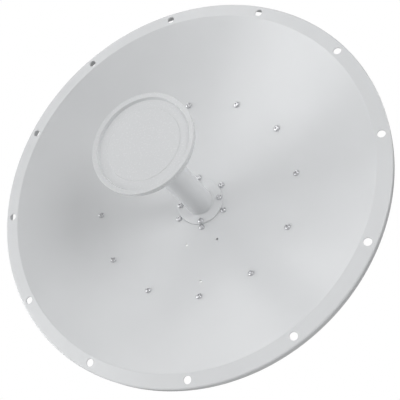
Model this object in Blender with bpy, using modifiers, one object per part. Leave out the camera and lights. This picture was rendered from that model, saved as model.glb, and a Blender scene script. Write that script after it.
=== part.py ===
"""A 0.65 m parabolic dish antenna with its feed, its screws and its plain rear mount.

The dish looks along -Y with +Z up. The origin is the middle of the flat rear face of the mounting plate.
Most shapes are made in the dish frame: x to the right, y up, and z forward from the plane of the rim.
"""

from math import atan2, cos, hypot, pi, radians, sin

import bmesh
import bpy
from mathutils import Matrix, Vector

# Bowl: a paraboloid of 0.61 m aperture, spun from sheet
FOCAL_LENGTH = 0.2335
APERTURE_RADIUS = 0.305
SHEET = 0.002
BOWL_DEPTH = APERTURE_RADIUS**2 / (4 * FOCAL_LENGTH)
RIM_OUTER_RADIUS = 0.3275
RIM_FILLET = 0.0035
LIP_BEND = 0.0024
LIP_DEPTH = 0.015
RIM_HOLE_CIRCLE = 0.315
RIM_HOLE_RADIUS = 0.006
RIM_HOLES = 12
PLAIN_HOLE_RADIUS = 0.0022
PLAIN_HOLES = ((0.0795, 160), (0.0795, 200), (0.1475, 180))

# Gaps that touching solids keep
GAP = 0.0003
HEAD_GAP = 0.0005
HOLE_CLEARANCE = 0.0006

# Feed: tube, its base flange, and the disc in front
TUBE_RADIUS = 0.0233
TUBE_WALL = 0.003
TUBE_BORE = TUBE_RADIUS + GAP
BASE_FLANGE_RADIUS = 0.0412
BASE_FLANGE_THICKNESS = 0.0034
BASE_FILLET = 0.0016
DISC_RADIUS = 0.0801
DISC_BACK_RADIUS = 0.0784
DISC_FRONT = 0.1343
DISC_BACK = 0.1225
DISC_LIP_INNER_RADIUS = 0.0731
DISC_LIP_INNER_FRONT = 0.1331
DISC_PLATE_RADIUS = 0.0714
DISC_PLATE_FRONT = 0.1284
DISC_CENTRE_RADIUS = 0.0578
DISC_CENTRE_RISE = 0.0006
DISC_ROUND = 0.0008
COLLAR_RADIUS = 0.034
COLLAR_LENGTH = 0.009

# Rear: ring, hub collar, feed housing, connectors and mounting plate
REAR_FACE = -0.160
PLATE_THICKNESS = 0.006
PLATE_SIDE = 0.229
PLATE_CORNER = 0.012
PLATE_FRONT = REAR_FACE + PLATE_THICKNESS
PLATE_BOLT_CIRCLE = 0.1455
MOUNT_HOLE_PITCH = 0.1
MOUNT_HOLE_RADIUS = 0.0055
RING_SHEET = 0.0025
RING_WALL_RADIUS = 0.1655
RING_FRONT_OUTER_RADIUS = 0.188
RING_REAR_INNER_RADIUS = 0.128
HUB_RADIUS = 0.056
HUB_THICKNESS = 0.008
HUB_BOSS_RADIUS = 0.0375
HUB_REAR = -0.1115
HOUSING_RADIUS = 0.033
HOUSING_LENGTH = 0.032
CONNECTOR_ANGLES = (150, 210)
CONNECTOR_SEAT = HOUSING_RADIUS + GAP
CONNECTOR_PLACE = 0.55
CONNECTOR_RADIUS = 0.0078
CONNECTOR_LENGTH = 0.022
CONNECTOR_CHAMFER = 0.0012
CONNECTOR_FLANGE_RADIUS = 0.0095
CONNECTOR_FLANGE = 0.006

# Screws
HEAD_RADIUS = 0.0051
HEAD_HEIGHT = 0.0033
SHANK_RADIUS = 0.003
SOCKET_RADIUS = 0.0023
SOCKET_DEPTH = 0.0019
NUT_RADIUS = 0.0057
NUT_HEIGHT = 0.005
NUT_STICKOUT = 0.0015
THREAD_SHORT = 0.001
RING_SCREW_CIRCLE = 0.1756
RING_SCREWS = 12
HUB_SCREW_CIRCLE = 0.0467
HUB_SCREWS = 6
BASE_SCREW_CIRCLE = 0.0361
BASE_SCREWS = 4
BOLT_HEAD_RADIUS = 0.0075
BOLT_HEAD_HEIGHT = 0.0053
BOLT_RADIUS = 0.004

# Facets
ROUND_STEPS = 60
FEED_STEPS = 40
SCREW_STEPS = 10
CONNECTOR_STEPS = 16
HOLE_SIDES = 8
RIM_HOLE_SIDES = 12
BOWL_STEPS = 9
BOWL_BACK_STEPS = 7

POWDER_COAT = (0.72, 0.73, 0.74)
STEEL = (0.55, 0.56, 0.58)
ZINC = (0.50, 0.51, 0.53)
BRASS = (0.78, 0.72, 0.55)


def clear_scene():
    for thing in list(bpy.data.objects):
        bpy.data.objects.remove(thing, do_unlink=True)


def new_collection(name):
    collection = bpy.data.collections.new(name)
    bpy.context.scene.collection.children.link(collection)
    return collection


def make_material(name, colour, roughness, metallic):
    material = bpy.data.materials.new(name)
    material.use_nodes = True
    shader = material.node_tree.nodes["Principled BSDF"]
    shader.inputs["Base Color"].default_value = (*colour, 1)
    shader.inputs["Roughness"].default_value = roughness
    shader.inputs["Metallic"].default_value = metallic
    return material


clear_scene()
PARTS = new_collection("dish_antenna")
CUTTERS = new_collection("cutters")

DISH = bpy.data.objects.new("dish_axis", None)
DISH.location = (0, REAR_FACE, 0)
DISH.rotation_euler = (pi / 2, 0, 0)
PARTS.objects.link(DISH)

FINISHES = {
    "reflector": (POWDER_COAT, 0.45, 0.0),
    "feed_base": (POWDER_COAT, 0.4, 0.0),
    "tube": (POWDER_COAT, 0.35, 0.0),
    "disc": (POWDER_COAT, 0.4, 0.0),
    "back_ring": (POWDER_COAT, 0.5, 0.0),
    "hub": (STEEL, 0.4, 0.9),
    "housing": (POWDER_COAT, 0.5, 0.0),
    "connector": (BRASS, 0.3, 1.0),
    "plate": (ZINC, 0.4, 0.9),
    "screw": (STEEL, 0.25, 1.0),
}
MATERIALS = {name: make_material(name, *finish) for name, finish in FINISHES.items()}


def add_object(name, mesh, finish, collection=None, parent=None):
    thing = bpy.data.objects.new(name, mesh)
    thing.parent = parent or DISH
    (collection or PARTS).objects.link(thing)
    if finish and not mesh.materials:
        mesh.materials.append(MATERIALS[finish])
    return thing


def shade_round(mesh):
    mesh.shade_smooth()
    mesh.set_sharp_from_angle(angle=radians(35))


def turned(name, profile, finish, steps, closed=True):
    """A turned solid about z from (radius, height) points, the outer side down, a facet facing up."""
    mesh = bpy.data.meshes.new(name)
    count = len(profile)
    edges = [(i, i + 1) for i in range(count - 1)]
    if closed:
        edges.append((count - 1, 0))
    mesh.from_pydata([(radius, 0, height) for radius, height in profile], edges, [])
    thing = add_object(name, mesh, finish)
    spin = thing.modifiers.new("Turn", "SCREW")
    spin.steps = steps
    spin.render_steps = steps
    spin.use_merge_vertices = True
    spin.merge_threshold = 0.00001
    spin.use_smooth_shade = True
    thing.rotation_euler.z = pi / steps
    return thing


def evaluated_mesh(thing, name):
    """The object's mesh with its modifiers applied."""
    bpy.context.view_layer.update()
    graph = bpy.context.evaluated_depsgraph_get()
    mesh = bpy.data.meshes.new_from_object(thing.evaluated_get(graph))
    mesh.name = name
    return mesh


def drop(thing):
    bpy.data.objects.remove(thing, do_unlink=True)


def cut(thing, cutter, operation="DIFFERENCE"):
    boolean = thing.modifiers.new("Cut", "BOOLEAN")
    boolean.operation = operation
    boolean.object = cutter


def hide_cutter(thing):
    thing.hide_render = True
    thing.display_type = "WIRE"


def cylinders(name, places, sides):
    """One cutter of several cylinders, from (matrix, radius, low, high) with z along each."""
    shape = bmesh.new()
    for matrix, radius, low, high in places:
        middle = matrix @ Matrix.Translation((0, 0, (low + high) / 2))
        bmesh.ops.create_cone(
            shape,
            cap_ends=True,
            segments=sides,
            radius1=radius,
            radius2=radius,
            depth=high - low,
            matrix=middle,
        )
    mesh = bpy.data.meshes.new(name)
    shape.to_mesh(mesh)
    shape.free()
    thing = add_object(name, mesh, None, CUTTERS)
    hide_cutter(thing)
    return thing


def bowl_point(radius, behind=0.0):
    """The (radius, height) of the bowl's front surface there, moved square to it towards the back."""
    slope = radius / (2 * FOCAL_LENGTH)
    length = hypot(1, slope)
    height = radius**2 / (4 * FOCAL_LENGTH) - BOWL_DEPTH
    return radius + behind * slope / length, height - behind / length


def bowl_line(first, last, steps, behind=0.0):
    return [bowl_point(first + (last - first) * i / steps, behind) for i in range(steps + 1)]


def arc(centre, radius, start, end, steps):
    """Points on an arc in the profile's plane, with angles in degrees from the outward direction."""
    points = []
    for i in range(steps + 1):
        angle = radians(start + (end - start) * i / steps)
        points.append((centre[0] + radius * cos(angle), centre[1] + radius * sin(angle)))
    return points


def on_circle(radius, degrees, height=0.0):
    """A point at a clock angle from the top, seen from the front."""
    angle = radians(degrees)
    return Vector((radius * sin(angle), radius * cos(angle), height))


def level(radius, degrees, height):
    return Matrix.Translation(on_circle(radius, degrees, height))


def on_bowl(radius, degrees):
    """The frame of a screw that stands square on the bowl's front surface."""
    height = bowl_point(radius)[1]
    lean = atan2(radius, 2 * FOCAL_LENGTH)
    inward = on_circle(1, degrees)
    normal = Vector((0, 0, cos(lean))) - inward * sin(lean)
    turn = normal.to_track_quat("Z", "Y").to_matrix().to_4x4()
    return Matrix.Translation(on_circle(radius, degrees, height)) @ turn


def around(count):
    return [360 * i / count for i in range(count)]


RING_PLACES = [on_bowl(RING_SCREW_CIRCLE, angle) for angle in around(RING_SCREWS)]
HUB_PLACES = [on_bowl(HUB_SCREW_CIRCLE, angle) for angle in around(HUB_SCREWS)]
BASE_PLACES = [on_bowl(BASE_SCREW_CIRCLE, angle) for angle in around(BASE_SCREWS)]
SCREW_HOLE = SHANK_RADIUS + HOLE_CLEARANCE


def screw_holes(name, places, reach):
    return cylinders(name, [(place, SCREW_HOLE, -reach, reach) for place in places], HOLE_SIDES)


def rim_profile():
    """The bowl, its fillet into the flat rim, and the lip turned back, as one sheet."""
    corner = RIM_OUTER_RADIUS - LIP_BEND
    front = bowl_line(TUBE_BORE, APERTURE_RADIUS - RIM_FILLET, BOWL_STEPS)
    front.append((APERTURE_RADIUS + RIM_FILLET / 2, 0))
    front += arc((corner, -LIP_BEND), LIP_BEND, 90, 0, 3)
    front.append((RIM_OUTER_RADIUS, -LIP_DEPTH))
    back = [(RIM_OUTER_RADIUS - SHEET, -LIP_DEPTH)]
    back += arc((corner, -LIP_BEND), LIP_BEND - SHEET, 0, 90, 2)
    back.append((APERTURE_RADIUS + RIM_FILLET / 2 + SHEET / 3, -SHEET))
    back_end = APERTURE_RADIUS - RIM_FILLET / 2
    back += list(reversed(bowl_line(TUBE_BORE, back_end, BOWL_BACK_STEPS, SHEET)))
    return front + back


def make_reflector():
    bowl = turned("reflector", rim_profile(), "reflector", ROUND_STEPS)
    rim_places = [level(RIM_HOLE_CIRCLE, angle, 0) for angle in around(RIM_HOLES)]
    rim = [(place, RIM_HOLE_RADIUS, -2 * SHEET, 2 * SHEET) for place in rim_places]
    cut(bowl, cylinders("rim_hole_cutter", rim, RIM_HOLE_SIDES))
    plain_places = [on_bowl(radius, angle) for radius, angle in PLAIN_HOLES]
    plain = [(place, PLAIN_HOLE_RADIUS, -3 * SHEET, 3 * SHEET) for place in plain_places]
    cut(bowl, cylinders("plain_hole_cutter", plain, HOLE_SIDES))
    cut(bowl, screw_holes("ring_hole_cutter", RING_PLACES, 0.012))
    cut(bowl, screw_holes("hub_hole_cutter", HUB_PLACES, 0.012))
    cut(bowl, screw_holes("base_hole_cutter", BASE_PLACES, 0.012))


def make_feed_base():
    """The flange under the tube follows the bowl and ends in a small fillet."""
    lift = -GAP
    top = lift - BASE_FLANGE_THICKNESS
    bore = TUBE_BORE
    fillet_end = bore + BASE_FILLET
    front = [(bore, bowl_point(bore, top)[1] + BASE_FILLET)]
    front.append((bore + BASE_FILLET / 3, bowl_point(bore, top)[1] + BASE_FILLET / 3))
    front += bowl_line(fillet_end, BASE_FLANGE_RADIUS - DISC_ROUND, 2, top)
    edge_low = bowl_point(BASE_FLANGE_RADIUS, lift)
    edge_high = bowl_point(BASE_FLANGE_RADIUS, top)
    front.append((BASE_FLANGE_RADIUS, edge_high[1] - DISC_ROUND))
    back = [(BASE_FLANGE_RADIUS, edge_low[1])]
    back += list(reversed(bowl_line(bore, BASE_FLANGE_RADIUS, 2, lift)))[1:]
    back[-1] = (bore, back[-1][1])
    flange = turned("feed_base_flange", front + back, "feed_base", FEED_STEPS)
    cut(flange, screw_holes("base_flange_cutter", BASE_PLACES, 0.02))


def make_feed_tube():
    """The tube runs from the housing behind the bowl to the back of the disc, with a stop in front."""
    front = DISC_BACK - GAP
    inner = TUBE_RADIUS - TUBE_WALL
    stop = front - TUBE_WALL
    profile = [(0, front), (TUBE_RADIUS, front), (TUBE_RADIUS, HUB_REAR), (inner, HUB_REAR)]
    profile += [(inner, stop), (0, stop)]
    turned("feed_tube", profile, "tube", FEED_STEPS, closed=False)


def make_feed_disc():
    centre_front = DISC_PLATE_FRONT + DISC_CENTRE_RISE
    profile = [
        (0, centre_front),
        (DISC_CENTRE_RADIUS - DISC_CENTRE_RISE, centre_front),
        (DISC_CENTRE_RADIUS, DISC_PLATE_FRONT),
        (DISC_PLATE_RADIUS, DISC_PLATE_FRONT),
        (DISC_LIP_INNER_RADIUS, DISC_LIP_INNER_FRONT),
        (DISC_RADIUS - DISC_ROUND, DISC_FRONT),
        (DISC_RADIUS, DISC_FRONT - DISC_ROUND),
        (DISC_BACK_RADIUS, DISC_BACK),
        (0, DISC_BACK),
    ]
    turned("feed_disc", profile, "disc", FEED_STEPS, closed=False)
    high = DISC_BACK - GAP
    low = high - COLLAR_LENGTH
    collar = [(TUBE_BORE, high), (COLLAR_RADIUS, high), (COLLAR_RADIUS, low + 2 * DISC_ROUND)]
    collar += [(COLLAR_RADIUS - 2 * DISC_ROUND, low), (TUBE_BORE, low)]
    turned("feed_collar", collar, "disc", FEED_STEPS)


def make_back_ring():
    """The ring seats on the back of the bowl, runs back as a wall and turns in for the plate."""
    seat = SHEET + GAP
    back_of_seat = seat + RING_SHEET
    inner_wall = RING_WALL_RADIUS - RING_SHEET
    rear = PLATE_FRONT + GAP
    front_line = bowl_line(inner_wall, RING_FRONT_OUTER_RADIUS, 2, seat)
    back_line = list(reversed(bowl_line(RING_WALL_RADIUS, RING_FRONT_OUTER_RADIUS, 2, back_of_seat)))
    back_line[-1] = (RING_WALL_RADIUS, back_line[-1][1])
    front_line[0] = (inner_wall, front_line[0][1])
    rear_line = [(RING_WALL_RADIUS, rear), (RING_REAR_INNER_RADIUS, rear)]
    inner_line = [(RING_REAR_INNER_RADIUS, rear + RING_SHEET), (inner_wall, rear + RING_SHEET)]
    ring = turned("back_ring", front_line + back_line + rear_line + inner_line, "back_ring", ROUND_STEPS)
    cut(ring, screw_holes("ring_seat_cutter", RING_PLACES, 0.012))
    bolt_holes = [(place, BOLT_RADIUS + HOLE_CLEARANCE, -0.01, 0.01) for place in bolt_places()]
    cut(ring, cylinders("ring_bolt_cutter", bolt_holes, HOLE_SIDES))


def make_hub_collar():
    """The collar follows the back of the bowl, with a flat boss in the middle for the housing."""
    seat = SHEET + GAP
    front = bowl_line(TUBE_BORE, HUB_RADIUS, 2, seat)
    front[0] = (TUBE_BORE, front[0][1])
    back = list(reversed(bowl_line(HUB_BOSS_RADIUS, HUB_RADIUS, 2, seat + HUB_THICKNESS)))
    profile = front + back + [(HUB_BOSS_RADIUS, HUB_REAR), (TUBE_BORE, HUB_REAR)]
    collar = turned("hub_collar", profile, "hub", FEED_STEPS)
    cut(collar, screw_holes("hub_seat_cutter", HUB_PLACES, 0.02))
    cut(collar, screw_holes("hub_thread_cutter", BASE_PLACES, 0.02))


def make_housing():
    """The closed housing behind the hub, where the feed ends in two radio connectors."""
    high = HUB_REAR - GAP
    low = high - HOUSING_LENGTH
    bevel = 2 * DISC_ROUND
    profile = [(0, high), (HOUSING_RADIUS, high), (HOUSING_RADIUS, low + bevel)]
    profile += [(HOUSING_RADIUS - bevel, low), (0, low)]
    turned("feed_rear_housing", profile, "housing", FEED_STEPS, closed=False)
    middle = high - HOUSING_LENGTH * CONNECTOR_PLACE
    for number, angle in enumerate(CONNECTOR_ANGLES, start=1):
        make_connector(f"radio_connector_{number}", angle, middle)


def make_connector(name, angle, height):
    """A flanged radio connector that stands out of the housing's side."""
    shoulder = CONNECTOR_RADIUS - CONNECTOR_CHAMFER
    profile = [
        (0, CONNECTOR_LENGTH),
        (shoulder, CONNECTOR_LENGTH),
        (CONNECTOR_RADIUS, CONNECTOR_LENGTH - CONNECTOR_CHAMFER),
        (CONNECTOR_RADIUS, CONNECTOR_FLANGE),
        (CONNECTOR_FLANGE_RADIUS, CONNECTOR_FLANGE),
        (CONNECTOR_FLANGE_RADIUS, 0),
        (0, 0),
    ]
    connector = turned(name, profile, "connector", CONNECTOR_STEPS, closed=False)
    direction = on_circle(1, angle)
    connector.rotation_euler = direction.to_track_quat("Z", "Y").to_euler()
    connector.location = on_circle(CONNECTOR_SEAT, angle, height)


def bolt_places():
    seat = PLATE_FRONT + GAP + RING_SHEET
    return [level(PLATE_BOLT_CIRCLE, 45 + angle, seat) for angle in around(4)]


def round_plate_corners(plate):
    """Only the four short edges of the plate, through its thickness, are rounded."""
    bevel = plate.modifiers.new("Corners", "BEVEL")
    bevel.width = PLATE_CORNER
    bevel.segments = 4
    bevel.limit_method = "WEIGHT"
    weights = plate.data.attributes.new("bevel_weight_edge", "FLOAT", "EDGE")
    for edge in plate.data.edges:
        first, last = (plate.data.vertices[i].co for i in edge.vertices)
        weights.data[edge.index].value = float(abs(first.z - last.z) > PLATE_THICKNESS / 2)


def make_plate():
    bpy.ops.mesh.primitive_cube_add(size=1)
    plate = bpy.context.object
    plate.name = "mounting_plate"
    plate.data.name = "mounting_plate"
    for owner in list(plate.users_collection):
        owner.objects.unlink(plate)
    PARTS.objects.link(plate)
    middle = Matrix.Translation((0, 0, REAR_FACE + PLATE_THICKNESS / 2))
    size = Matrix.Diagonal((PLATE_SIDE, PLATE_SIDE, PLATE_THICKNESS, 1))
    plate.data.transform(middle @ size)
    plate.data.materials.append(MATERIALS["plate"])
    plate.parent = DISH
    round_plate_corners(plate)
    half = MOUNT_HOLE_PITCH / 2
    holes = []
    for x in (-half, half):
        for y in (-half, half):
            place = Matrix.Translation((x, y, PLATE_FRONT))
            holes.append((place, MOUNT_HOLE_RADIUS, -0.01, 0.01))
    cut(plate, cylinders("mount_hole_cutter", holes, RIM_HOLE_SIDES))
    bolt_holes = [(place, BOLT_RADIUS + HOLE_CLEARANCE, -0.02, 0.01) for place in bolt_places()]
    cut(plate, cylinders("plate_bolt_cutter", bolt_holes, HOLE_SIDES))


def screw_mesh(name, length, nut_top=None):
    """A button head screw, its underside at 0, with a hexagonal socket and perhaps a nut."""
    profile = [
        (0, HEAD_HEIGHT),
        (0.62 * HEAD_RADIUS, HEAD_HEIGHT),
        (HEAD_RADIUS, 0.4 * HEAD_HEIGHT),
        (HEAD_RADIUS, 0),
        (SHANK_RADIUS, 0),
        (SHANK_RADIUS, -length),
        (0, -length),
    ]
    blank = turned(name, profile, "screw", SCREW_STEPS, closed=False)
    middle = Matrix.Identity(4)
    socket = [(middle, SOCKET_RADIUS, HEAD_HEIGHT - SOCKET_DEPTH, 2 * HEAD_HEIGHT)]
    helpers = [cylinders(name + "_socket", socket, 6)]
    cut(blank, helpers[0])
    if nut_top is not None:
        helpers.append(cylinders(name + "_nut", [(middle, NUT_RADIUS, nut_top - NUT_HEIGHT, nut_top)], 6))
        cut(blank, helpers[1], "UNION")
    mesh = evaluated_mesh(blank, name)
    shade_round(mesh)
    for thing in [blank, *helpers]:
        drop(thing)
    return mesh


def place_screws(name, mesh, places, lift):
    for number, place in enumerate(places, start=1):
        screw = add_object(f"{name}_{number:02d}", mesh, "screw")
        screw.matrix_local = place @ Matrix.Translation((0, 0, lift))


def make_screws():
    ring_nut_top = -(HEAD_GAP + SHEET + GAP + RING_SHEET + GAP)
    ring_length = NUT_HEIGHT + NUT_STICKOUT - ring_nut_top
    place_screws("ring_screw", screw_mesh("ring_screw", ring_length, ring_nut_top), RING_PLACES, HEAD_GAP)
    hub_nut_top = -(HEAD_GAP + SHEET + GAP + HUB_THICKNESS + GAP)
    hub_length = NUT_HEIGHT + NUT_STICKOUT - hub_nut_top
    place_screws("hub_screw", screw_mesh("hub_screw", hub_length, hub_nut_top), HUB_PLACES, HEAD_GAP)
    base_lift = GAP + BASE_FLANGE_THICKNESS + HEAD_GAP
    base_length = base_lift + SHEET + GAP + HUB_THICKNESS - THREAD_SHORT
    place_screws("base_screw", screw_mesh("base_screw", base_length), BASE_PLACES, base_lift)


def make_plate_bolts():
    """Hexagon bolts from inside the ring, threaded into the plate and short of its rear face."""
    length = RING_SHEET + GAP + PLATE_THICKNESS
    profile = [(0, 0), (BOLT_RADIUS, 0), (BOLT_RADIUS, -length), (0, -length)]
    blank = turned("plate_bolt", profile, "screw", SCREW_STEPS, closed=False)
    head = [(Matrix.Identity(4), BOLT_HEAD_RADIUS, 0, BOLT_HEAD_HEIGHT)]
    helper = cylinders("plate_bolt_head", head, 6)
    cut(blank, helper, "UNION")
    mesh = evaluated_mesh(blank, "plate_bolt")
    shade_round(mesh)
    drop(blank)
    drop(helper)
    place_screws("plate_bolt", mesh, bolt_places(), GAP)


make_reflector()
make_feed_base()
make_feed_tube()
make_feed_disc()
make_back_ring()
make_hub_collar()
make_housing()
make_plate()
make_screws()
make_plate_bolts()
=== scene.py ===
"""The looks of a dish antenna: a powder-coated bowl and feed, stainless screws and a plain rear mount."""

from math import acos, atan2, cos, hypot, pi, radians, sin, tan

import bmesh
import bpy
from mathutils import Matrix, Vector


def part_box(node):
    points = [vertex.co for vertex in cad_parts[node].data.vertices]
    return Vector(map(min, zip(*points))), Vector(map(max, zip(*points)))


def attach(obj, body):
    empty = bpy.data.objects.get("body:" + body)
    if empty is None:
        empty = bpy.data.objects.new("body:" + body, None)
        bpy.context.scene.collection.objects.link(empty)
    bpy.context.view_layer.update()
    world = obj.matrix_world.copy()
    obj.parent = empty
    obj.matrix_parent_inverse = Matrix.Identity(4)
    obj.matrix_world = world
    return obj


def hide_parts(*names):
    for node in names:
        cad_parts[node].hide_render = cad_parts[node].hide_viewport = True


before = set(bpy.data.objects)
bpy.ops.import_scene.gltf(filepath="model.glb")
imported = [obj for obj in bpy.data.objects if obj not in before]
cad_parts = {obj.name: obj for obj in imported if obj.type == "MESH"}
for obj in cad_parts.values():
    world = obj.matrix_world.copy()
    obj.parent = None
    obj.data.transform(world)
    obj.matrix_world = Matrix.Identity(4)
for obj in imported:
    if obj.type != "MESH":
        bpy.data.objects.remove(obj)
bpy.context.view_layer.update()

# The dish frame: x to the right, y up, z forward from the plane of the rim
RIM_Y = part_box("reflector")[0].y
DISH = Matrix.Translation((0, RIM_Y, 0)) @ Matrix.Rotation(pi / 2, 4, "X")

# Bowl
FOCAL_LENGTH = 0.2335
APERTURE_RADIUS = 0.305
BOWL_DEPTH = APERTURE_RADIUS**2 / (4 * FOCAL_LENGTH)
SHEET = 0.002
RIM_RADIUS = 0.3275
RIM_FILLET = 0.003
LIP_BEND = 0.0024
LIP_DEPTH = 0.015
RIM_HOLE_CIRCLE = 0.315
RIM_HOLE_RADIUS = 0.006
PLAIN_HOLE_RADIUS = 0.0022
PLAIN_HOLES = ((0.0795, 160), (0.0795, 200), (0.1475, 180))
GAP = 0.0003
HEAD_GAP = 0.0005
LIP_END_EDGE = 0.0004

# Feed
TUBE_RADIUS = 0.0233
TUBE_BORE = TUBE_RADIUS + GAP
BASE_FLANGE_RADIUS = 0.0412
BASE_FLANGE_THICKNESS = 0.0034
BASE_FILLET = 0.0016
BASE_FILLET_LAND = 0.0003
BASE_EDGE = 0.0007
DISC_RADIUS = 0.0801
DISC_BACK_RADIUS = 0.0784
DISC_LIP_INNER_RADIUS = 0.0731
DISC_PLATE_RADIUS = 0.0714
DISC_CENTRE_RADIUS = 0.0578
DISC_FRONT = RIM_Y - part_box("feed_disc")[0].y
DISC_BACK = RIM_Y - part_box("feed_disc")[1].y
DISC_LIP_DROP = 0.0012
DISC_PLATE_DROP = 0.0059
DISC_CENTRE_RISE = 0.0006
DISC_STEP_EDGE = 0.0003
DISC_LIP_INNER_EDGE = 0.0004
DISC_LIP_OUTER_EDGE = 0.0007
DISC_BACK_EDGE = 0.001
COLLAR_RADIUS = 0.034
COLLAR_FRONT_EDGE = 0.0005
COLLAR_SHOULDER = 0.003
COLLAR_BACK_EDGE = 0.0004

# Rear
REAR_FACE = RIM_Y
PLATE_FRONT = RIM_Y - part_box("mounting_plate")[0].y
PLATE_SIDE = 0.229
PLATE_CORNER = 0.012
PLATE_EDGE = 0.0006
PLATE_BOLT_CIRCLE = 0.1455
MOUNT_HOLE_PITCH = 0.1
MOUNT_HOLE_RADIUS = 0.0055
RING_SHEET = 0.0025
RING_WALL_RADIUS = 0.1655
RING_FRONT_OUTER_RADIUS = 0.188
RING_REAR_INNER_RADIUS = 0.128
RING_EDGE = 0.0006
RING_SEAT_EDGE = 0.0008
RING_FOOT_BEND = 0.0015
RING_REAR_BEND = 0.0035
RING_INNER_BEND = 0.001
HUB_RADIUS = 0.056
HUB_THICKNESS = 0.008
HUB_BOSS_RADIUS = 0.0375
HUB_EDGE = 0.0006
HUB_REAR_EDGE = 0.0012
HUB_REAR = RIM_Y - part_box("hub_collar")[1].y
HOUSING_RADIUS = 0.033
HOUSING_FRONT = RIM_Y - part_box("feed_rear_housing")[0].y
HOUSING_REAR = RIM_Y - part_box("feed_rear_housing")[1].y
HOUSING_FRONT_EDGE = 0.0008
HOUSING_REAR_EDGE = 0.0022
LID_THICKNESS = 0.007
LID_GROOVE_DEPTH = 0.0008
LID_GROOVE_HALF_WIDTH = 0.0006
LID_GROOVE_EDGE = 0.0003
CONNECTOR_ANGLES = (150, 210)
CONNECTOR_PLACE = 0.55
CONNECTOR_RADIUS = 0.0078
CONNECTOR_LENGTH = 0.022
CONNECTOR_FLANGE_RADIUS = 0.0095
CONNECTOR_FLANGE = 0.006
CONNECTOR_FLANGE_EDGE = 0.0006
CONNECTOR_MOUTH_RADIUS = 0.0062
CONNECTOR_MOUTH_DEPTH = 0.007
CONNECTOR_THREADS = 11
CONNECTOR_THREAD_DEPTH = 0.0005
CONNECTOR_THREAD_START = 0.0008
CONNECTOR_THREAD_END = 0.0022
CONNECTOR_NECK = 0.0007
CORE_RADIUS = 0.0042
CORE_DROP = 0.0035
PIN_RADIUS = 0.0009
PIN_DROP = 0.0012
CORE_EDGE = 0.0004
SLIVER = 0.0001

# Screws
HEAD_RADIUS = 0.0051
HEAD_HEIGHT = 0.0033
HEAD_EDGE = 0.0005
HEAD_TOP_RADIUS = 0.0027
SHANK_RADIUS = 0.003
SHANK_HOLE = 0.0036
SOCKET_RADIUS = 0.0023
SOCKET_DEPTH = 0.0019
NUT_RADIUS = 0.0057
NUT_HEIGHT = 0.005
NUT_STICKOUT = 0.0015
THREAD_SHORT = 0.001
THREAD_PITCH = 0.001
THREAD_DEPTH = 0.00045
THREAD_CHAMFER = 0.0007
THREAD_LEAD = 0.0005
PLAIN_SHANK = 0.004
HEAD_UNDERCUT = 0.0002
SCREW_EDGE = 0.0001
RING_SCREW_CIRCLE = 0.1756
HUB_SCREW_CIRCLE = 0.0467
BASE_SCREW_CIRCLE = 0.0361
BOLT_HEAD_RADIUS = 0.0075
BOLT_HEAD_HEIGHT = 0.0053
BOLT_RADIUS = 0.004
BOLT_HOLE = 0.0046
BOLT_THREAD_END = 0.0006

# Facets
DISH_STEPS = 240
FEED_STEPS = 160
SCREW_STEPS = 40
DISC_STEPS = 200
CONNECTOR_STEPS = 64
CORE_STEPS = 48
PIN_STEPS = 24
BOWL_STEPS = 56
HOLE_SIDES = 24
LARGE_HOLE_SIDES = 40
PLAIN_HOLE_SIDES = 20

# The photograph's camera
IMAGE_WIDTH = 400
FOCAL_PIXELS = 681.3
CENTRE_PIXEL = (171.8, 222.2)
SENSOR_WIDTH = 36.0
CAMERA_PLACE = (0.3609, -1.0620, -0.4827)
CAMERA_AZIMUTH = 22.562
CAMERA_ELEVATION = -22.869
CAMERA_ROLL = -2.318

FLOOR_Z = -0.9
FLOOR_SIZE = 14.0


# Materials

def new_material(name, colour, roughness, metallic):
    material = bpy.data.materials.new(name)
    material.use_nodes = True
    shader = material.node_tree.nodes["Principled BSDF"]
    shader.inputs["Base Color"].default_value = (*colour, 1)
    shader.inputs["Roughness"].default_value = roughness
    shader.inputs["Metallic"].default_value = metallic
    return material, material.node_tree, shader


def add_node(tree, kind, **values):
    node = tree.nodes.new(kind)
    for name, value in values.items():
        if hasattr(node, name):
            setattr(node, name, value)
        else:
            node.inputs[name.replace("_", " ")].default_value = value
    return node


def noise(tree, scale, detail=3.0, roughness=0.5):
    """A noise in the piece's own coordinates, in waves to the metre."""
    place = tree.nodes.new("ShaderNodeTexCoord")
    cloud = add_node(tree, "ShaderNodeTexNoise", Scale=scale, Detail=detail, Roughness=roughness)
    tree.links.new(place.outputs["Object"], cloud.inputs["Vector"])
    return cloud.outputs["Fac"]


def spread(tree, factor, low, high):
    """The factor stretched from its usual middle range to low and high."""
    scale = add_node(tree, "ShaderNodeMapRange")
    scale.inputs["From Min"].default_value = 0.3
    scale.inputs["From Max"].default_value = 0.7
    scale.inputs["To Min"].default_value = low
    scale.inputs["To Max"].default_value = high
    tree.links.new(factor, scale.inputs["Value"])
    return scale.outputs["Result"]


def tint(tree, shader, factor, dark, light):
    mix = tree.nodes.new("ShaderNodeMix")
    mix.data_type = "RGBA"
    mix.inputs["A"].default_value = (*dark, 1)
    mix.inputs["B"].default_value = (*light, 1)
    tree.links.new(factor, mix.inputs["Factor"])
    tree.links.new(mix.outputs["Result"], shader.inputs["Base Color"])


def bump(tree, shader, height, strength, distance):
    relief = add_node(tree, "ShaderNodeBump", Strength=strength, Distance=distance)
    tree.links.new(height, relief.inputs["Height"])
    tree.links.new(relief.outputs["Normal"], shader.inputs["Normal"])


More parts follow.
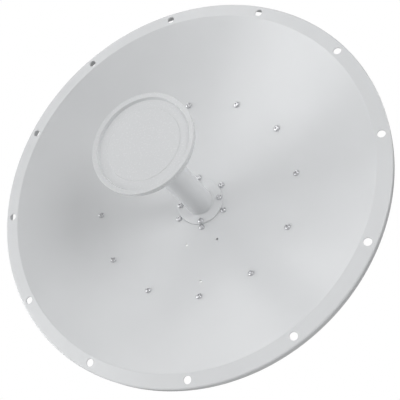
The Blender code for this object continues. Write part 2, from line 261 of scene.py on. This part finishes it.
def powder_coat(name, colour, roughness=0.22, peel=0.10):
    """Baked powder: an even colour with faint clouds, and the fine orange peel of the melt."""
    cloud_scale, gloss_scale, peel_scale = 9, 420, 620
    peel_height = 0.0002
    material, tree, shader = new_material(name, colour, roughness, 0)
    clouds = spread(tree, noise(tree, cloud_scale, 2), 0, 1)
    tint(tree, shader, clouds, [c * 0.985 for c in colour], [min(1, c * 1.01) for c in colour])
    rough = spread(tree, noise(tree, gloss_scale, 2), roughness - 0.03, roughness + 0.04)
    tree.links.new(rough, shader.inputs["Roughness"])
    bump(tree, shader, noise(tree, peel_scale, 1.5), peel, peel_height)
    return material


def turned_metal(name, colour, roughness):
    """Bare metal with the fine rings that turning leaves about the piece's own axis."""
    ring_scale, gloss_scale, cloud_scale = 900, 300, 120
    ring_height = 0.0001
    material, tree, shader = new_material(name, colour, roughness, 1)
    place = tree.nodes.new("ShaderNodeTexCoord")
    rings = add_node(tree, "ShaderNodeTexWave", wave_type="RINGS", rings_direction="Z")
    rings.inputs["Scale"].default_value = ring_scale
    rings.inputs["Distortion"].default_value = 2.0
    rings.inputs["Detail"].default_value = 2.0
    rings.inputs["Detail Scale"].default_value = 60
    tree.links.new(place.outputs["Object"], rings.inputs["Vector"])
    rough = spread(tree, noise(tree, gloss_scale, 3), roughness - 0.05, roughness + 0.08)
    tree.links.new(rough, shader.inputs["Roughness"])
    clouds = spread(tree, noise(tree, cloud_scale, 3), 0, 1)
    tint(tree, shader, clouds, [c * 0.93 for c in colour], colour)
    bump(tree, shader, rings.outputs["Fac"], 0.06, ring_height)
    return material


def zinc_plate(name, colour):
    """Galvanised sheet: a faint spangle of crystals about a centimetre wide."""
    crystal_scale, grain_scale = 95.0, 260
    grain_height = 0.0002
    material, tree, shader = new_material(name, colour, 0.42, 1)
    place = tree.nodes.new("ShaderNodeTexCoord")
    crystals = add_node(tree, "ShaderNodeTexVoronoi", Scale=crystal_scale)
    tree.links.new(place.outputs["Object"], crystals.inputs["Vector"])
    grey = tree.nodes.new("ShaderNodeRGBToBW")
    tree.links.new(crystals.outputs["Color"], grey.inputs["Color"])
    tint(tree, shader, grey.outputs["Val"], [c * 0.86 for c in colour], [min(1, c * 1.08) for c in colour])
    rough = spread(tree, grey.outputs["Val"], 0.34, 0.5)
    tree.links.new(rough, shader.inputs["Roughness"])
    bump(tree, shader, noise(tree, grain_scale, 3), 0.08, grain_height)
    return material


def white_plastic(name, colour):
    cloud_scale = 200
    material, tree, shader = new_material(name, colour, 0.5, 0)
    clouds = spread(tree, noise(tree, cloud_scale, 2), 0, 1)
    tint(tree, shader, clouds, [c * 0.96 for c in colour], colour)
    return material


COAT_COLOUR = (0.615, 0.625, 0.635)
COAT = powder_coat("powder_coat", COAT_COLOUR)
DISC_COAT = powder_coat("disc_coat", COAT_COLOUR, 0.25, 0.03)
HOUSING_COAT = powder_coat("housing_coat", (0.50, 0.51, 0.53), 0.5)
STAINLESS = turned_metal("stainless", (0.64, 0.645, 0.66), 0.26)
ALUMINIUM = turned_metal("turned_aluminium", (0.72, 0.73, 0.75), 0.34)
NICKEL = turned_metal("nickel", (0.74, 0.72, 0.66), 0.22)
ZINC = zinc_plate("zinc", (0.62, 0.63, 0.65))
DIELECTRIC = white_plastic("dielectric", (0.86, 0.86, 0.84))


# Shapes

def bowl_point(radius, behind=0.0):
    """The (radius, height) of the bowl's front surface there, moved square to it towards the back."""
    slope = radius / (2 * FOCAL_LENGTH)
    length = hypot(1, slope)
    height = radius**2 / (4 * FOCAL_LENGTH) - BOWL_DEPTH
    return radius + behind * slope / length, height - behind / length


def bowl_line(first, last, steps, behind=0.0):
    return [bowl_point(first + (last - first) * i / steps, behind) for i in range(steps + 1)]


def on_circle(radius, degrees, height=0.0):
    """A point at a clock angle from the top, seen from the front."""
    angle = radians(degrees)
    return Vector((radius * sin(angle), radius * cos(angle), height))


def level(radius, degrees, height):
    return Matrix.Translation(on_circle(radius, degrees, height))


def on_bowl(radius, degrees):
    """The frame of a screw that stands square on the bowl's front surface."""
    lean = atan2(radius, 2 * FOCAL_LENGTH)
    normal = Vector((0, 0, cos(lean))) - on_circle(1, degrees) * sin(lean)
    turn = normal.to_track_quat("Z", "Y").to_matrix().to_4x4()
    return Matrix.Translation(on_circle(radius, degrees, bowl_point(radius)[1])) @ turn


def around(count):
    return [360 * i / count for i in range(count)]


def rounded(points, radii, steps=4):
    """The outline with each corner that has a radius made an arc; radii holds {index: radius}."""
    made = []
    for index, point in enumerate(points):
        radius = radii.get(index, 0)
        if not radius:
            made.append(tuple(point))
            continue
        corner = Vector(point)
        before = (Vector(points[index - 1]) - corner).normalized()
        after = (Vector(points[(index + 1) % len(points)]) - corner).normalized()
        half = acos(max(-1, min(1, before.dot(after)))) / 2
        middle = corner + (before + after).normalized() * (radius / sin(half))
        start = corner + before * (radius / tan(half)) - middle
        end = corner + after * (radius / tan(half)) - middle
        turn = start.angle_signed(end)
        for i in range(steps + 1):
            angle = -turn * i / steps
            made.append(tuple(middle + Matrix.Rotation(angle, 2) @ start))
    return made


def smooth(thing, angle=30):
    """Smooth shading that keeps flat faces flat and edges sharp."""
    thing.data.shade_smooth()
    thing.data.set_sharp_from_angle(angle=radians(angle))
    weighted = thing.modifiers.new("Flat faces", "WEIGHTED_NORMAL")
    weighted.keep_sharp = True


def loose_object(name, mesh):
    thing = bpy.data.objects.new(name, mesh)
    bpy.context.scene.collection.objects.link(thing)
    return thing


def turned(name, profile, steps, closed=True):
    """A turned shape about z, from (radius, height) points with the outer side running down."""
    mesh = bpy.data.meshes.new(name)
    count = len(profile)
    edges = [(i, i + 1) for i in range(count - 1)]
    if closed:
        edges.append((count - 1, 0))
    mesh.from_pydata([(radius, 0, height) for radius, height in profile], edges, [])
    thing = loose_object(name, mesh)
    spin = thing.modifiers.new("Turn", "SCREW")
    spin.steps = steps
    spin.render_steps = steps
    spin.use_merge_vertices = True
    spin.merge_threshold = 0.000001
    return thing


def cylinders(name, places, sides):
    """One cutter of several cylinders, from (matrix, radius, low, high) with z along each."""
    shape = bmesh.new()
    for matrix, radius, low, high in places:
        middle = matrix @ Matrix.Translation((0, 0, (low + high) / 2))
        bmesh.ops.create_cone(
            shape,
            cap_ends=True,
            segments=sides,
            radius1=radius,
            radius2=radius,
            depth=high - low,
            matrix=middle,
        )
    mesh = bpy.data.meshes.new(name)
    shape.to_mesh(mesh)
    shape.free()
    return loose_object(name, mesh)


def combine(thing, cutters, operation="DIFFERENCE"):
    for cutter in cutters:
        boolean = thing.modifiers.new("Cut", "BOOLEAN")
        boolean.operation = operation
        boolean.object = cutter


def break_edges(thing, width, angle):
    """A small bevel on every edge sharper than the angle."""
    bevel = thing.modifiers.new("Broken edge", "BEVEL")
    bevel.width = width
    bevel.segments = 2
    bevel.limit_method = "ANGLE"
    bevel.angle_limit = radians(angle)


def apply_modifiers(thing, helpers=()):
    """Fixes the shape as its modifiers leave it, and removes the helpers."""
    bpy.context.view_layer.update()
    graph = bpy.context.evaluated_depsgraph_get()
    mesh = bpy.data.meshes.new_from_object(thing.evaluated_get(graph))
    thing.modifiers.clear()
    thing.data = mesh
    for helper in helpers:
        bpy.data.objects.remove(helper, do_unlink=True)
    return mesh


def finish_piece(thing, place, material, nodes=(), angle=30):
    """Puts a finished piece in its place on the root body, for the nodes that it stands for."""
    thing.data.name = thing.name
    smooth(thing, angle)
    thing.data.materials.clear()
    thing.data.materials.append(material)
    thing.matrix_world = place
    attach(thing, "root")
    if nodes:
        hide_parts(*nodes)
    return thing


RING_PLACES = [on_bowl(RING_SCREW_CIRCLE, angle) for angle in around(12)]
HUB_PLACES = [on_bowl(HUB_SCREW_CIRCLE, angle) for angle in around(6)]
BASE_PLACES = [on_bowl(BASE_SCREW_CIRCLE, angle) for angle in around(4)]
BOLT_PLACES = [level(PLATE_BOLT_CIRCLE, 45 + a, PLATE_FRONT + GAP + RING_SHEET) for a in around(4)]
SCREW_REACH = 0.02
SHORT_REACH = 0.012
BOLT_REACH = 0.01


def holes(name, places, radius, reach=SCREW_REACH, sides=HOLE_SIDES):
    return cylinders(name, [(place, radius, -reach, reach) for place in places], sides)


# Bowl

def make_reflector():
    """The spun sheet: bowl, fillet, flat rim and the lip turned back, with every hole."""
    last = APERTURE_RADIUS - RIM_FILLET / 2
    front = bowl_line(TUBE_BORE, last, BOWL_STEPS)
    back = list(reversed(bowl_line(TUBE_BORE, last, BOWL_STEPS, SHEET)))
    edge = bowl_point(APERTURE_RADIUS)
    inner_edge = bowl_point(APERTURE_RADIUS, SHEET)
    start = len(front)
    front += [edge, (RIM_RADIUS, 0), (RIM_RADIUS, -LIP_DEPTH), (RIM_RADIUS - SHEET, -LIP_DEPTH)]
    front += [(RIM_RADIUS - SHEET, -SHEET), (inner_edge[0], -SHEET)]
    radii = {start: RIM_FILLET, start + 1: LIP_BEND, start + 2: LIP_END_EDGE, start + 3: LIP_END_EDGE}
    radii.update({start + 4: LIP_BEND - SHEET, start + 5: RIM_FILLET - SHEET})
    profile = rounded(front + back, radii, 6)
    bowl = turned("reflector_shell", profile, DISH_STEPS)
    rim_places = [level(RIM_HOLE_CIRCLE, angle, 0) for angle in around(12)]
    plain_places = [on_bowl(radius, angle) for radius, angle in PLAIN_HOLES]
    cutters = [
        holes("rim_holes", rim_places, RIM_HOLE_RADIUS, 2 * SHEET, LARGE_HOLE_SIDES),
        holes("plain_holes", plain_places, PLAIN_HOLE_RADIUS, 3 * SHEET, PLAIN_HOLE_SIDES),
        holes("ring_holes", RING_PLACES, SHANK_HOLE),
        holes("hub_holes", HUB_PLACES, SHANK_HOLE, SHORT_REACH),
        holes("base_holes", BASE_PLACES, SHANK_HOLE, SHORT_REACH),
    ]
    combine(bowl, cutters)
    apply_modifiers(bowl, cutters)
    finish_piece(bowl, DISH, COAT, ["reflector"])


# Feed

def make_feed_base():
    """The flange that follows the bowl, with a hollow fillet up to the tube."""
    lift = -GAP
    top = lift - BASE_FLANGE_THICKNESS
    front = bowl_line(TUBE_BORE, BASE_FLANGE_RADIUS, 8, top)
    back = list(reversed(bowl_line(TUBE_BORE, BASE_FLANGE_RADIUS, 8, lift)))
    back[0] = (front[-1][0], back[0][1])
    back[-1] = (TUBE_BORE, back[-1][1])
    foot = front[0][1]
    neck = [(TUBE_BORE, foot + BASE_FILLET), (TUBE_BORE + BASE_FILLET_LAND, foot + BASE_FILLET)]
    fillet_steps = 6
    for i in range(1, fillet_steps + 1):
        angle = radians(180 + 90 * i / fillet_steps)
        reach = BASE_FILLET - BASE_FILLET_LAND
        neck.append((TUBE_BORE + BASE_FILLET + reach * cos(angle), foot + BASE_FILLET + reach * sin(angle)))
    profile = neck + front[1:] + back
    corner = len(neck) + len(front) - 2
    profile = rounded(profile, {corner: BASE_EDGE}, 4)
    flange = turned("feed_flange", profile, FEED_STEPS)
    cutters = [holes("flange_holes", BASE_PLACES, SHANK_HOLE)]
    combine(flange, cutters)
    apply_modifiers(flange, cutters)
    finish_piece(flange, DISH, COAT, ["feed_base_flange"])


def make_feed_tube():
    front = DISC_BACK - GAP
    profile = [(0, front), (TUBE_RADIUS, front), (TUBE_RADIUS, HUB_REAR), (0, HUB_REAR)]
    tube = turned("feed_pipe", profile, FEED_STEPS, closed=False)
    apply_modifiers(tube)
    finish_piece(tube, DISH, COAT, ["feed_tube"])


def make_feed_disc():
    """The disc, with its raised lip and recessed plate, and the collar behind it."""
    plate = DISC_FRONT - DISC_PLATE_DROP
    centre = plate + DISC_CENTRE_RISE
    profile = [
        (0, centre),
        (DISC_CENTRE_RADIUS - DISC_CENTRE_RISE, centre),
        (DISC_CENTRE_RADIUS, plate),
        (DISC_PLATE_RADIUS, plate),
        (DISC_LIP_INNER_RADIUS, DISC_FRONT - DISC_LIP_DROP),
        (DISC_RADIUS, DISC_FRONT),
        (DISC_BACK_RADIUS, DISC_BACK),
        (0, DISC_BACK),
    ]
    radii = {corner: DISC_STEP_EDGE for corner in (1, 2, 3)}
    radii.update({4: DISC_LIP_INNER_EDGE, 5: DISC_LIP_OUTER_EDGE, 6: DISC_BACK_EDGE})
    disc = turned("feed_dish_disc", rounded(profile, radii, 5), DISC_STEPS, closed=False)
    apply_modifiers(disc)
    finish_piece(disc, DISH, DISC_COAT, ["feed_disc"])
    low, high = (RIM_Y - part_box("feed_collar")[i].y for i in (1, 0))
    profile = [(TUBE_BORE, high), (COLLAR_RADIUS, high), (COLLAR_RADIUS, low), (TUBE_BORE, low)]
    radii = {1: COLLAR_FRONT_EDGE, 2: COLLAR_SHOULDER, 3: COLLAR_BACK_EDGE}
    collar = turned("feed_disc_collar", rounded(profile, radii, 6), FEED_STEPS)
    apply_modifiers(collar)
    finish_piece(collar, DISH, DISC_COAT, ["feed_collar"])


# Rear

def make_back_ring():
    """The pressed ring behind the bowl: a flange that follows the bowl, a wall and a flat rear flange."""
    seat = SHEET + GAP
    inner_wall = RING_WALL_RADIUS - RING_SHEET
    rear = PLATE_FRONT + GAP
    front_line = bowl_line(inner_wall, RING_FRONT_OUTER_RADIUS, 10, seat)
    back_line = list(reversed(bowl_line(RING_WALL_RADIUS, RING_FRONT_OUTER_RADIUS, 8, seat + RING_SHEET)))
    back_line[-1] = (RING_WALL_RADIUS, back_line[-1][1])
    front_line[0] = (inner_wall, front_line[0][1])
    rest = [(RING_WALL_RADIUS, rear), (RING_REAR_INNER_RADIUS, rear)]
    rest += [(RING_REAR_INNER_RADIUS, rear + RING_SHEET), (inner_wall, rear + RING_SHEET)]
    wall_foot = len(front_line) + len(back_line) - 1
    edges = (len(front_line) - 1, len(front_line), wall_foot + 2, wall_foot + 3)
    radii = {corner: RING_EDGE for corner in edges}
    radii.update({0: RING_SEAT_EDGE, wall_foot: RING_FOOT_BEND})
    radii.update({wall_foot + 1: RING_REAR_BEND, wall_foot + 4: RING_INNER_BEND})
    profile = rounded(front_line + back_line + rest, radii, 5)
    ring = turned("rear_ring", profile, DISH_STEPS)
    cutters = [
        holes("ring_seat_holes", RING_PLACES, SHANK_HOLE, SHORT_REACH),
        holes("ring_bolt_holes", BOLT_PLACES, BOLT_HOLE, BOLT_REACH),
    ]
    combine(ring, cutters)
    apply_modifiers(ring, cutters)
    finish_piece(ring, DISH, COAT, ["back_ring"])


def make_hub():
    """The turned collar that clamps the feed tube behind the bowl."""
    seat = SHEET + GAP
    front = bowl_line(TUBE_BORE, HUB_RADIUS, 8, seat)
    front[0] = (TUBE_BORE, front[0][1])
    back = list(reversed(bowl_line(HUB_BOSS_RADIUS, HUB_RADIUS, 5, seat + HUB_THICKNESS)))
    back[-1] = (HUB_BOSS_RADIUS, back[-1][1])
    profile = front + back + [(HUB_BOSS_RADIUS, HUB_REAR), (TUBE_BORE, HUB_REAR)]
    count = len(front) + len(back)
    radii = {len(front) - 1: HUB_EDGE, len(front): HUB_REAR_EDGE, count: HUB_EDGE}
    hub = turned("rear_hub", rounded(profile, radii, 4), FEED_STEPS)
    cutters = [
        holes("hub_nut_holes", HUB_PLACES, SHANK_HOLE),
        holes("thread_holes", BASE_PLACES, SHANK_HOLE),
    ]
    combine(hub, cutters)
    apply_modifiers(hub, cutters)
    finish_piece(hub, DISH, ALUMINIUM, ["hub_collar"])


def make_housing():
    """The housing behind the hub, with the groove of its lid."""
    groove = HOUSING_REAR + LID_THICKNESS
    front_side = groove + LID_GROOVE_HALF_WIDTH
    rear_side = groove - LID_GROOVE_HALF_WIDTH
    profile = [
        (0, HOUSING_FRONT),
        (HOUSING_RADIUS, HOUSING_FRONT),
        (HOUSING_RADIUS, front_side),
        (HOUSING_RADIUS - LID_GROOVE_DEPTH, front_side),
        (HOUSING_RADIUS - LID_GROOVE_DEPTH, rear_side),
        (HOUSING_RADIUS, rear_side),
        (HOUSING_RADIUS, HOUSING_REAR),
        (0, HOUSING_REAR),
    ]
    radii = {1: HOUSING_FRONT_EDGE, 2: LID_GROOVE_EDGE, 5: LID_GROOVE_EDGE, 6: HOUSING_REAR_EDGE}
    housing = turned("rear_housing", rounded(profile, radii, 5), FEED_STEPS, closed=False)
    apply_modifiers(housing)
    finish_piece(housing, DISH, HOUSING_COAT, ["feed_rear_housing"])
    height = HOUSING_FRONT + (HOUSING_REAR - HOUSING_FRONT) * CONNECTOR_PLACE
    for number, angle in enumerate(CONNECTOR_ANGLES, start=1):
        make_connector(number, angle, height)


def make_connector(number, angle, height):
    """A threaded coaxial socket: flange, barrel with its thread, white core and centre contact."""
    turn = on_circle(1, angle).to_track_quat("Z", "Y").to_matrix().to_4x4()
    place = DISH @ Matrix.Translation(on_circle(HOUSING_RADIUS + GAP, angle, height)) @ turn
    mouth = CONNECTOR_MOUTH_RADIUS
    floor = CONNECTOR_LENGTH - CONNECTOR_MOUTH_DEPTH
    crest = CONNECTOR_RADIUS
    chamfer = CONNECTOR_FLANGE_EDGE
    profile = [(0, floor), (mouth, floor), (mouth, CONNECTOR_LENGTH), (crest - chamfer, CONNECTOR_LENGTH)]
    start = CONNECTOR_LENGTH - CONNECTOR_THREAD_START
    end = CONNECTOR_FLANGE + CONNECTOR_THREAD_END
    for i in range(CONNECTOR_THREADS):
        top = start + (end - start) * i / CONNECTOR_THREADS
        profile.append((crest, top))
        profile.append((crest - CONNECTOR_THREAD_DEPTH, top + (end - start) / CONNECTOR_THREADS / 2))
    neck = crest - CONNECTOR_NECK
    profile += [(crest, end), (neck, end - chamfer), (neck, CONNECTOR_FLANGE)]
    profile += [(CONNECTOR_FLANGE_RADIUS, CONNECTOR_FLANGE), (CONNECTOR_FLANGE_RADIUS, 0), (0, 0)]
    flange_edge = len(profile) - 3
    profile = rounded(profile, {flange_edge: chamfer}, 4)
    barrel = turned(f"connector_barrel_{number}", profile, CONNECTOR_STEPS, closed=False)
    apply_modifiers(barrel)
    finish_piece(barrel, place, NICKEL, [f"radio_connector_{number}"])
    top = CONNECTOR_LENGTH - CORE_DROP
    lift = floor + SLIVER
    profile = rounded([(0, top), (CORE_RADIUS, top), (CORE_RADIUS, lift), (0, lift)], {1: CORE_EDGE}, 3)
    core = turned(f"connector_core_{number}", profile, CORE_STEPS, closed=False)
    apply_modifiers(core)
    finish_piece(core, place, DIELECTRIC)
    base = top + SLIVER
    tip = CONNECTOR_LENGTH - PIN_DROP
    profile = rounded([(0, tip), (PIN_RADIUS, tip), (PIN_RADIUS, base), (0, base)], {1: CORE_EDGE}, 3)
    pin = turned(f"connector_pin_{number}", profile, PIN_STEPS, closed=False)
    apply_modifiers(pin)
    finish_piece(pin, place, NICKEL)


def make_plate():
    """The flat plate, with rounded corners, broken edges and its holes."""
    half = PLATE_SIDE / 2
    corners = [(-half, -half), (half, -half), (half, half), (-half, half)]
    outline = rounded(corners, {i: PLATE_CORNER for i in range(4)}, 10)
    shape = bmesh.new()
    ring = [shape.verts.new((x, y, REAR_FACE)) for x, y in outline]
    face = shape.faces.new(ring)
    raised = bmesh.ops.extrude_face_region(shape, geom=[face])
    moved = [v for v in raised["geom"] if isinstance(v, bmesh.types.BMVert)]
    bmesh.ops.translate(shape, verts=moved, vec=(0, 0, PLATE_FRONT - REAR_FACE))
    bmesh.ops.recalc_face_normals(shape, faces=shape.faces)
    mesh = bpy.data.meshes.new("plate")
    shape.to_mesh(mesh)
    shape.free()
    plate = loose_object("rear_plate", mesh)
    step = MOUNT_HOLE_PITCH / 2
    places = [Matrix.Translation((x, y, REAR_FACE)) for x in (-step, step) for y in (-step, step)]
    cutters = [
        holes("mount_holes", places, MOUNT_HOLE_RADIUS, BOLT_REACH, LARGE_HOLE_SIDES),
        holes("plate_bolt_holes", BOLT_PLACES, BOLT_HOLE),
    ]
    combine(plate, cutters)
    break_edges(plate, PLATE_EDGE, 50)
    apply_modifiers(plate, cutters)
    finish_piece(plate, DISH, ZINC, ["mounting_plate"])


# Screws

def hexagon_blank(radius, low, high, chamfer):
    """A hexagonal head or nut whose corners are turned off by a cone at both ends."""
    prism = cylinders("hexagon", [(Matrix.Identity(4), radius, low, high)], 6)
    inner = radius * cos(pi / 6) * 0.98
    slope = (radius * 1.01 - inner) * 0.6
    profile = [(0, high), (inner, high), (radius * 1.01, high - slope)]
    profile += [(radius * 1.01, low + slope * chamfer), (inner, low), (0, low)]
    cone = turned("turned_off", profile, SCREW_STEPS, closed=False)
    combine(prism, [cone], "INTERSECT")
    apply_modifiers(prism, [cone])
    return prism


def thread(radius, start, end):
    """The outline of a screw thread, as rings: a crest and a root in each pitch."""
    count = max(1, round((start - end) / THREAD_PITCH))
    pitch = (start - end) / count
    points = []
    for i in range(count):
        points.append((radius, start - pitch * (i + 0.2)))
        points.append((radius - THREAD_DEPTH, start - pitch * (i + 0.65)))
    return points


def screw_blank(name, length, nut_top=None):
    """A button head screw with a domed head, a hexagonal socket, a thread and perhaps a nut."""
    profile = [(0, HEAD_HEIGHT), (HEAD_TOP_RADIUS, HEAD_HEIGHT)]
    rise = HEAD_HEIGHT - HEAD_EDGE
    run = HEAD_RADIUS - HEAD_TOP_RADIUS
    dome_steps = 8
    for i in range(1, dome_steps + 1):
        angle = radians(90 * i / dome_steps)
        profile.append((HEAD_TOP_RADIUS + run * sin(angle), HEAD_EDGE + rise * cos(angle)))
    profile += [(HEAD_RADIUS - HEAD_UNDERCUT, 0), (SHANK_RADIUS, 0)]
    plain = -PLAIN_SHANK if nut_top is None else nut_top - NUT_HEIGHT
    profile += thread(SHANK_RADIUS, plain, -length + THREAD_LEAD)
    profile += [(SHANK_RADIUS - THREAD_CHAMFER, -length), (0, -length)]
    blank = turned(name, profile, SCREW_STEPS, closed=False)
    socket = [(Matrix.Identity(4), SOCKET_RADIUS, HEAD_HEIGHT - SOCKET_DEPTH, 2 * HEAD_HEIGHT)]
    helpers = [cylinders("socket", socket, 6)]
    combine(blank, helpers)
    if nut_top is not None:
        nut = hexagon_blank(NUT_RADIUS, nut_top - NUT_HEIGHT, nut_top, 1)
        combine(blank, [nut], "UNION")
        helpers.append(nut)
    break_edges(blank, SCREW_EDGE, 40)
    return apply_modifiers(blank, helpers), blank


def place_screws(prefix, node, blank_and_mesh, places, lift):
    """One copy of the screw for each place, each turned to its own chance angle."""
    mesh, blank = blank_and_mesh
    turn_step = 0.7
    for number, place in enumerate(places, start=1):
        screw = loose_object(f"{prefix}_{number:02d}", mesh.copy())
        turn = Matrix.Rotation(turn_step * number, 4, "Z")
        where = DISH @ place @ Matrix.Translation((0, 0, lift)) @ turn
        finish_piece(screw, where, STAINLESS, [f"{node}_{number:02d}"])
    bpy.data.objects.remove(blank, do_unlink=True)


def make_screws():
    ring_nut_top = -(HEAD_GAP + SHEET + GAP + RING_SHEET + GAP)
    hub_nut_top = -(HEAD_GAP + SHEET + GAP + HUB_THICKNESS + GAP)
    tail = NUT_HEIGHT + NUT_STICKOUT
    ring = screw_blank("ring_blank", tail - ring_nut_top, ring_nut_top)
    place_screws("bowl_ring_screw", "ring_screw", ring, RING_PLACES, HEAD_GAP)
    hub = screw_blank("hub_blank", tail - hub_nut_top, hub_nut_top)
    place_screws("bowl_hub_screw", "hub_screw", hub, HUB_PLACES, HEAD_GAP)
    lift = GAP + BASE_FLANGE_THICKNESS + HEAD_GAP
    base = screw_blank("base_blank", lift + SHEET + GAP + HUB_THICKNESS - THREAD_SHORT)
    place_screws("flange_screw", "base_screw", base, BASE_PLACES, lift)


def make_plate_bolts():
    """Hexagon bolts from inside the ring, threaded into the plate."""
    length = RING_SHEET + GAP + PLATE_FRONT - REAR_FACE
    head = hexagon_blank(BOLT_HEAD_RADIUS, 0, BOLT_HEAD_HEIGHT, 0.2)
    profile = [(0, BOLT_HEAD_HEIGHT / 2), (BOLT_RADIUS, BOLT_HEAD_HEIGHT / 2)]
    profile += thread(BOLT_RADIUS, -THREAD_LEAD, -length + BOLT_THREAD_END)
    profile += [(BOLT_RADIUS - THREAD_CHAMFER, -length), (0, -length)]
    shank = turned("bolt_shank", profile, SCREW_STEPS, closed=False)
    combine(head, [shank], "UNION")
    mesh = apply_modifiers(head, [shank])
    place_screws("rear_bolt", "plate_bolt", (mesh, head), BOLT_PLACES, GAP)


# Stage, light and camera

def make_floor():
    bpy.ops.mesh.primitive_plane_add(size=FLOOR_SIZE, location=(0, 0, FLOOR_Z))
    floor = bpy.context.object
    floor.name = "floor"
    material, tree, shader = new_material("floor", (0.82, 0.82, 0.82), 0.9, 0)
    tint(tree, shader, spread(tree, noise(tree, 3, 2), 0, 1), (0.81, 0.81, 0.81), (0.83, 0.83, 0.83))
    floor.data.materials.append(material)


def direction(azimuth, elevation):
    """The way from the dish to that side: azimuth from its front towards +X, elevation up."""
    turn, rise = radians(azimuth), radians(elevation)
    return Vector((sin(turn) * cos(rise), -cos(turn) * cos(rise), sin(rise)))


def operate(tree, kind, *values):
    """One step of arithmetic on numbers and other nodes' outputs."""
    step = tree.nodes.new("ShaderNodeMath")
    step.operation = kind
    for socket, value in zip(step.inputs, values):
        if isinstance(value, (int, float)):
            socket.default_value = value
        else:
            tree.links.new(value, socket)
    return step.outputs[0]


def make_world(even, glow, shown):
    """A room light: an even part and a broad glow round one side, with a white backdrop for the camera."""
    world = bpy.data.worlds.new("room")
    bpy.context.scene.world = world
    world.use_nodes = True
    tree = world.node_tree
    backdrop = tree.nodes["Background"]
    backdrop.inputs["Color"].default_value = (1, 1, 1, 1)
    backdrop.inputs["Strength"].default_value = shown
    room = tree.nodes.new("ShaderNodeBackground")
    room.inputs["Color"].default_value = (1, 1, 1, 1)
    azimuth, elevation, sharpness, strength = glow
    place = tree.nodes.new("ShaderNodeTexCoord")
    facing = tree.nodes.new("ShaderNodeVectorMath")
    facing.operation = "DOT_PRODUCT"
    facing.inputs[1].default_value = direction(azimuth, elevation)
    tree.links.new(place.outputs["Generated"], facing.inputs[0])
    away = operate(tree, "SUBTRACT", facing.outputs["Value"], 1.0)
    lobe = operate(tree, "EXPONENT", operate(tree, "MULTIPLY", away, sharpness))
    total = operate(tree, "MULTIPLY_ADD", lobe, strength, even)
    tree.links.new(total, room.inputs["Strength"])
    seen = tree.nodes.new("ShaderNodeLightPath")
    mix = tree.nodes.new("ShaderNodeMixShader")
    tree.links.new(seen.outputs["Is Camera Ray"], mix.inputs["Fac"])
    tree.links.new(room.outputs["Background"], mix.inputs[1])
    tree.links.new(backdrop.outputs["Background"], mix.inputs[2])
    tree.links.new(mix.outputs["Shader"], tree.nodes["World Output"].inputs["Surface"])


LIGHT_TARGET = Vector((0, RIM_Y, 0))


def make_light(name, azimuth, elevation, size, distance, power, shadow=True):
    """A square soft box that looks at the dish from that side."""
    light = bpy.data.lights.new(name, "AREA")
    light.shape = "SQUARE"
    light.size = size
    light.energy = power
    light.use_shadow = shadow
    lamp = bpy.data.objects.new(name, light)
    bpy.context.scene.collection.objects.link(lamp)
    away = direction(azimuth, elevation)
    lamp.location = LIGHT_TARGET + away * distance
    lamp.rotation_mode = "QUATERNION"
    lamp.rotation_quaternion = away.to_track_quat("Z", "Y")
    lamp.visible_camera = False


ROOM_EVEN = 0.11
ROOM_GLOW = (-25, 5, 5.0, 1.36)
BACKDROP = 1.0
# Each lamp: azimuth, elevation, side in metres, distance, power, and whether it casts shadows
LIGHTS = {
    "wide_left": (-60, 0, 1.8, 2.8, 13.5, False),
    "soft_box_left": (-38, 2, 0.8, 2.4, 3.2, False),
    "upper_left": (-60, 60, 0.7, 1.4, 3.1, False),
    "side_right": (90, 30, 1.8, 2.8, 26.5, False),
    "low_left": (-80, -10, 1.8, 2.8, 43),
    "near_right": (45, 0, 0.8, 2.0, 11.2),
    "small_top": (0, 60, 0.7, 1.4, 1.5),
    "rear_top": (-160, 45, 1.6, 2.6, 14),
}


def make_camera():
    camera = bpy.data.cameras.new("camera")
    camera.sensor_width = SENSOR_WIDTH
    camera.lens = FOCAL_PIXELS / IMAGE_WIDTH * SENSOR_WIDTH
    camera.shift_x = 0.5 - CENTRE_PIXEL[0] / IMAGE_WIDTH
    camera.shift_y = CENTRE_PIXEL[1] / IMAGE_WIDTH - 0.5
    camera.clip_start = 0.05
    eye = bpy.data.objects.new("camera", camera)
    bpy.context.scene.collection.objects.link(eye)
    back = direction(CAMERA_AZIMUTH, CAMERA_ELEVATION)
    eye.location = CAMERA_PLACE
    eye.rotation_mode = "QUATERNION"
    roll = Matrix.Rotation(radians(CAMERA_ROLL), 4, "Z")
    eye.rotation_quaternion = (back.to_track_quat("Z", "Y").to_matrix().to_4x4() @ roll).to_quaternion()
    bpy.context.scene.camera = eye


make_reflector()
make_feed_base()
make_feed_tube()
make_feed_disc()
make_back_ring()
make_hub()
make_housing()
make_plate()
make_screws()
make_plate_bolts()
make_floor()
make_world(ROOM_EVEN, ROOM_GLOW, BACKDROP)
for light_name, settings in LIGHTS.items():
    make_light(light_name, *settings)
make_camera()
bpy.context.scene.view_settings.view_transform = "Standard"
